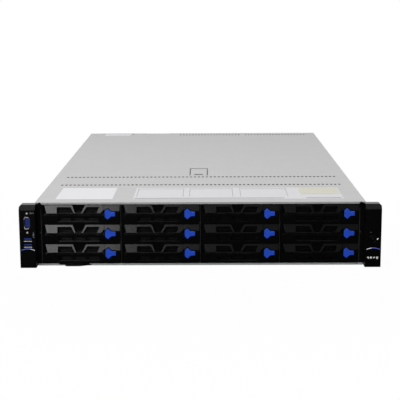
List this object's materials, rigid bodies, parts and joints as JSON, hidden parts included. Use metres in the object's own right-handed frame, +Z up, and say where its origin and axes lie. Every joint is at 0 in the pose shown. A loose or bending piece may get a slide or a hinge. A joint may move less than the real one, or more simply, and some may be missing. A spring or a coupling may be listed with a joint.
{
  "type": "2u rack server",
  "caption": "Two-unit rack server with hot-swap drive trays in front, blue release buttons, black rack ears, a vented steel cover with a lift latch, and rear power supplies.",
  "frame": {"origin": "on the chassis underside, in the middle, at the plane where the ears meet the rack posts", "axes": "+X to the right seen from the front, +Y to the rear, +Z up"},
  "size_m": [0.4826, 0.764, 0.087],
  "materials": {
    "galvanised_steel": "satin",
    "black_steel": "powder coat",
    "black_plastic": "fine matt",
    "blue_plastic": "satin",
    "port_metal": "bright nickel",
    "board": "solder mask",
    "fin_aluminium": "satin",
    "fan_plastic": "matt"
  },
  "bodies": {
    "chassis": {"chassis_tub": "galvanised_steel", "front_cover": "galvanised_steel", "drive_cage": "black_steel", "backplane": "board", "fan_frames": "fan_plastic", "motherboard": "board", "heat_sinks": "fin_aluminium", "memory_modules": "board", "riser_cages": "galvanised_steel", "left_ear": "black_plastic", "right_ear": "black_plastic", "front_ports": "port_metal"},
    "cover": {"rear_cover": "galvanised_steel"},
    "cover_lever": {"cover_latch": "galvanised_steel"},
    "power_key": {"power_button": "black_plastic"},
    "info_tab": {"asset_tag": "black_plastic"},
    "rotor_1": {"fan_rotor_1": "fan_plastic"},
    "rotor_2": {"fan_rotor_2": "fan_plastic"},
    "rotor_3": {"fan_rotor_3": "fan_plastic"},
    "rotor_4": {"fan_rotor_4": "fan_plastic"},
    "supply_1": {"power_supply_1": "galvanised_steel"},
    "supply_catch_1": {"supply_latch_1": "blue_plastic"},
    "supply_2": {"power_supply_2": "galvanised_steel"},
    "supply_catch_2": {"supply_latch_2": "blue_plastic"},
    "bay_r1_c1": {"tray_r1_c1": "black_plastic"},
    "lever_r1_c1": {"handle_r1_c1": "black_plastic"},
    "catch_r1_c1": {"release_r1_c1": "blue_plastic"},
    "bay_r1_c2": {"tray_r1_c2": "black_plastic"},
    "lever_r1_c2": {"handle_r1_c2": "black_plastic"},
    "catch_r1_c2": {"release_r1_c2": "blue_plastic"},
    "bay_r1_c3": {"tray_r1_c3": "black_plastic"},
    "lever_r1_c3": {"handle_r1_c3": "black_plastic"},
    "catch_r1_c3": {"release_r1_c3": "blue_plastic"},
    "bay_r1_c4": {"tray_r1_c4": "black_plastic"},
    "lever_r1_c4": {"handle_r1_c4": "black_plastic"},
    "catch_r1_c4": {"release_r1_c4": "blue_plastic"},
    "bay_r2_c1": {"tray_r2_c1": "black_plastic"},
    "lever_r2_c1": {"handle_r2_c1": "black_plastic"},
    "catch_r2_c1": {"release_r2_c1": "blue_plastic"},
    "bay_r2_c2": {"tray_r2_c2": "black_plastic"},
    "lever_r2_c2": {"handle_r2_c2": "black_plastic"},
    "catch_r2_c2": {"release_r2_c2": "blue_plastic"},
    "bay_r2_c3": {"tray_r2_c3": "black_plastic"},
    "lever_r2_c3": {"handle_r2_c3": "black_plastic"},
    "catch_r2_c3": {"release_r2_c3": "blue_plastic"},
    "bay_r2_c4": {"tray_r2_c4": "black_plastic"},
    "lever_r2_c4": {"handle_r2_c4": "black_plastic"},
    "catch_r2_c4": {"release_r2_c4": "blue_plastic"},
    "bay_r3_c1": {"tray_r3_c1": "black_plastic"},
    "lever_r3_c1": {"handle_r3_c1": "black_plastic"},
    "catch_r3_c1": {"release_r3_c1": "blue_plastic"},
    "bay_r3_c2": {"tray_r3_c2": "black_plastic"},
    "lever_r3_c2": {"handle_r3_c2": "black_plastic"},
    "catch_r3_c2": {"release_r3_c2": "blue_plastic"},
    "bay_r3_c3": {"tray_r3_c3": "black_plastic"},
    "lever_r3_c3": {"handle_r3_c3": "black_plastic"},
    "catch_r3_c3": {"release_r3_c3": "blue_plastic"},
    "bay_r3_c4": {"tray_r3_c4": "black_plastic"},
    "lever_r3_c4": {"handle_r3_c4": "black_plastic"},
    "catch_r3_c4": {"release_r3_c4": "blue_plastic"}
  },
  "joints": [
    {"name": "cover_slide", "type": "slide", "parent": "chassis", "child": "cover", "axis": [0, 1, 0], "range_m": [0, 0.012]},
    {"name": "cover_lever_lift", "type": "hinge", "parent": "cover", "child": "cover_lever", "pos_m": [-0.00365, 0.275, 0.084], "axis": [-1, 0, 0], "range_deg": [0, 80]},
    {"name": "power_press", "type": "slide", "parent": "chassis", "child": "power_key", "axis": [0, 1, 0], "range_m": [0, 0.0012], "stiffness_N_per_m": 800},
    {"name": "info_tab_pull", "type": "slide", "parent": "chassis", "child": "info_tab", "axis": [0, -1, 0], "range_m": [0, 0.055]},
    {"name": "rotor_1_spin", "type": "hinge", "parent": "chassis", "child": "rotor_1", "pos_m": [-0.1575, 0.19, 0.0412], "axis": [0, 1, 0], "continuous": true},
    {"name": "rotor_2_spin", "type": "hinge", "parent": "chassis", "child": "rotor_2", "pos_m": [-0.0525, 0.19, 0.0412], "axis": [0, 1, 0], "continuous": true},
    {"name": "rotor_3_spin", "type": "hinge", "parent": "chassis", "child": "rotor_3", "pos_m": [0.0525, 0.19, 0.0412], "axis": [0, 1, 0], "continuous": true},
    {"name": "rotor_4_spin", "type": "hinge", "parent": "chassis", "child": "rotor_4", "pos_m": [0.1575, 0.19, 0.0412], "axis": [0, 1, 0], "continuous": true},
    {"name": "supply_1_slide", "type": "slide", "parent": "chassis", "child": "supply_1", "axis": [0, 1, 0], "range_m": [0, 0.2]},
    {"name": "supply_1_catch", "type": "slide", "parent": "supply_1", "child": "supply_catch_1", "axis": [-1, 0, 0], "range_m": [0, 0.002], "stiffness_N_per_m": 500},
    {"name": "supply_2_slide", "type": "slide", "parent": "chassis", "child": "supply_2", "axis": [0, 1, 0], "range_m": [0, 0.2]},
    {"name": "supply_2_catch", "type": "slide", "parent": "supply_2", "child": "supply_catch_2", "axis": [-1, 0, 0], "range_m": [0, 0.002], "stiffness_N_per_m": 500},
    {"name": "bay_r1_c1_slide", "type": "slide", "parent": "chassis", "child": "bay_r1_c1", "axis": [0, -1, 0], "range_m": [0, 0.2]},
    {"name": "lever_r1_c1_swing", "type": "hinge", "parent": "bay_r1_c1", "child": "lever_r1_c1", "pos_m": [-0.2073, -0.0005, 0.0164], "axis": [0, 0, -1], "range_deg": [0, 60]},
    {"name": "catch_r1_c1_press", "type": "slide", "parent": "bay_r1_c1", "child": "catch_r1_c1", "axis": [1, 0, 0], "range_m": [0, 0.003], "stiffness_N_per_m": 400},
    {"name": "bay_r1_c2_slide", "type": "slide", "parent": "chassis", "child": "bay_r1_c2", "axis": [0, -1, 0], "range_m": [0, 0.2]},
    {"name": "lever_r1_c2_swing", "type": "hinge", "parent": "bay_r1_c2", "child": "lever_r1_c2", "pos_m": [-0.1001, -0.0005, 0.0164], "axis": [0, 0, -1], "range_deg": [0, 60]},
    {"name": "catch_r1_c2_press", "type": "slide", "parent": "bay_r1_c2", "child": "catch_r1_c2", "axis": [1, 0, 0], "range_m": [0, 0.003], "stiffness_N_per_m": 400},
    {"name": "bay_r1_c3_slide", "type": "slide", "parent": "chassis", "child": "bay_r1_c3", "axis": [0, -1, 0], "range_m": [0, 0.2]},
    {"name": "lever_r1_c3_swing", "type": "hinge", "parent": "bay_r1_c3", "child": "lever_r1_c3", "pos_m": [0.0071, -0.0005, 0.0164], "axis": [0, 0, -1], "range_deg": [0, 60]},
    {"name": "catch_r1_c3_press", "type": "slide", "parent": "bay_r1_c3", "child": "catch_r1_c3", "axis": [1, 0, 0], "range_m": [0, 0.003], "stiffness_N_per_m": 400},
    {"name": "bay_r1_c4_slide", "type": "slide", "parent": "chassis", "child": "bay_r1_c4", "axis": [0, -1, 0], "range_m": [0, 0.2]},
    {"name": "lever_r1_c4_swing", "type": "hinge", "parent": "bay_r1_c4", "child": "lever_r1_c4", "pos_m": [0.1143, -0.0005, 0.0164], "axis": [0, 0, -1], "range_deg": [0, 60]},
    {"name": "catch_r1_c4_press", "type": "slide", "parent": "bay_r1_c4", "child": "catch_r1_c4", "axis": [1, 0, 0], "range_m": [0, 0.003], "stiffness_N_per_m": 400},
    {"name": "bay_r2_c1_slide", "type": "slide", "parent": "chassis", "child": "bay_r2_c1", "axis": [0, -1, 0], "range_m": [0, 0.2]},
    {"name": "lever_r2_c1_swing", "type": "hinge", "parent": "bay_r2_c1", "child": "lever_r2_c1", "pos_m": [-0.2073, -0.0005, 0.0435], "axis": [0, 0, -1], "range_deg": [0, 60]},
    {"name": "catch_r2_c1_press", "type": "slide", "parent": "bay_r2_c1", "child": "catch_r2_c1", "axis": [1, 0, 0], "range_m": [0, 0.003], "stiffness_N_per_m": 400},
    {"name": "bay_r2_c2_slide", "type": "slide", "parent": "chassis", "child": "bay_r2_c2", "axis": [0, -1, 0], "range_m": [0, 0.2]},
    {"name": "lever_r2_c2_swing", "type": "hinge", "parent": "bay_r2_c2", "child": "lever_r2_c2", "pos_m": [-0.1001, -0.0005, 0.0435], "axis": [0, 0, -1], "range_deg": [0, 60]},
    {"name": "catch_r2_c2_press", "type": "slide", "parent": "bay_r2_c2", "child": "catch_r2_c2", "axis": [1, 0, 0], "range_m": [0, 0.003], "stiffness_N_per_m": 400},
    {"name": "bay_r2_c3_slide", "type": "slide", "parent": "chassis", "child": "bay_r2_c3", "axis": [0, -1, 0], "range_m": [0, 0.2]},
    {"name": "lever_r2_c3_swing", "type": "hinge", "parent": "bay_r2_c3", "child": "lever_r2_c3", "pos_m": [0.0071, -0.0005, 0.0435], "axis": [0, 0, -1], "range_deg": [0, 60]},
    {"name": "catch_r2_c3_press", "type": "slide", "parent": "bay_r2_c3", "child": "catch_r2_c3", "axis": [1, 0, 0], "range_m": [0, 0.003], "stiffness_N_per_m": 400},
    {"name": "bay_r2_c4_slide", "type": "slide", "parent": "chassis", "child": "bay_r2_c4", "axis": [0, -1, 0], "range_m": [0, 0.2]},
    {"name": "lever_r2_c4_swing", "type": "hinge", "parent": "bay_r2_c4", "child": "lever_r2_c4", "pos_m": [0.1143, -0.0005, 0.0435], "axis": [0, 0, -1], "range_deg": [0, 60]},
    {"name": "catch_r2_c4_press", "type": "slide", "parent": "bay_r2_c4", "child": "catch_r2_c4", "axis": [1, 0, 0], "range_m": [0, 0.003], "stiffness_N_per_m": 400},
    {"name": "bay_r3_c1_slide", "type": "slide", "parent": "chassis", "child": "bay_r3_c1", "axis": [0, -1, 0], "range_m": [0, 0.2]},
    {"name": "lever_r3_c1_swing", "type": "hinge", "parent": "bay_r3_c1", "child": "lever_r3_c1", "pos_m": [-0.2073, -0.0005, 0.0706], "axis": [0, 0, -1], "range_deg": [0, 60]},
    {"name": "catch_r3_c1_press", "type": "slide", "parent": "bay_r3_c1", "child": "catch_r3_c1", "axis": [1, 0, 0], "range_m": [0, 0.003], "stiffness_N_per_m": 400},
    {"name": "bay_r3_c2_slide", "type": "slide", "parent": "chassis", "child": "bay_r3_c2", "axis": [0, -1, 0], "range_m": [0, 0.2]},
    {"name": "lever_r3_c2_swing", "type": "hinge", "parent": "bay_r3_c2", "child": "lever_r3_c2", "pos_m": [-0.1001, -0.0005, 0.0706], "axis": [0, 0, -1], "range_deg": [0, 60]},
    {"name": "catch_r3_c2_press", "type": "slide", "parent": "bay_r3_c2", "child": "catch_r3_c2", "axis": [1, 0, 0], "range_m": [0, 0.003], "stiffness_N_per_m": 400},
    {"name": "bay_r3_c3_slide", "type": "slide", "parent": "chassis", "child": "bay_r3_c3", "axis": [0, -1, 0], "range_m": [0, 0.2]},
    {"name": "lever_r3_c3_swing", "type": "hinge", "parent": "bay_r3_c3", "child": "lever_r3_c3", "pos_m": [0.0071, -0.0005, 0.0706], "axis": [0, 0, -1], "range_deg": [0, 60]},
    {"name": "catch_r3_c3_press", "type": "slide", "parent": "bay_r3_c3", "child": "catch_r3_c3", "axis": [1, 0, 0], "range_m": [0, 0.003], "stiffness_N_per_m": 400},
    {"name": "bay_r3_c4_slide", "type": "slide", "parent": "chassis", "child": "bay_r3_c4", "axis": [0, -1, 0], "range_m": [0, 0.2]},
    {"name": "lever_r3_c4_swing", "type": "hinge", "parent": "bay_r3_c4", "child": "lever_r3_c4", "pos_m": [0.1143, -0.0005, 0.0706], "axis": [0, 0, -1], "range_deg": [0, 60]},
    {"name": "catch_r3_c4_press", "type": "slide", "parent": "bay_r3_c4", "child": "catch_r3_c4", "axis": [1, 0, 0], "range_m": [0, 0.003], "stiffness_N_per_m": 400}
  ],
  "couplings": [
    {"joint": "cover_lever_lift", "follows": "cover_slide", "rad_per_m": 116}
  ]
}
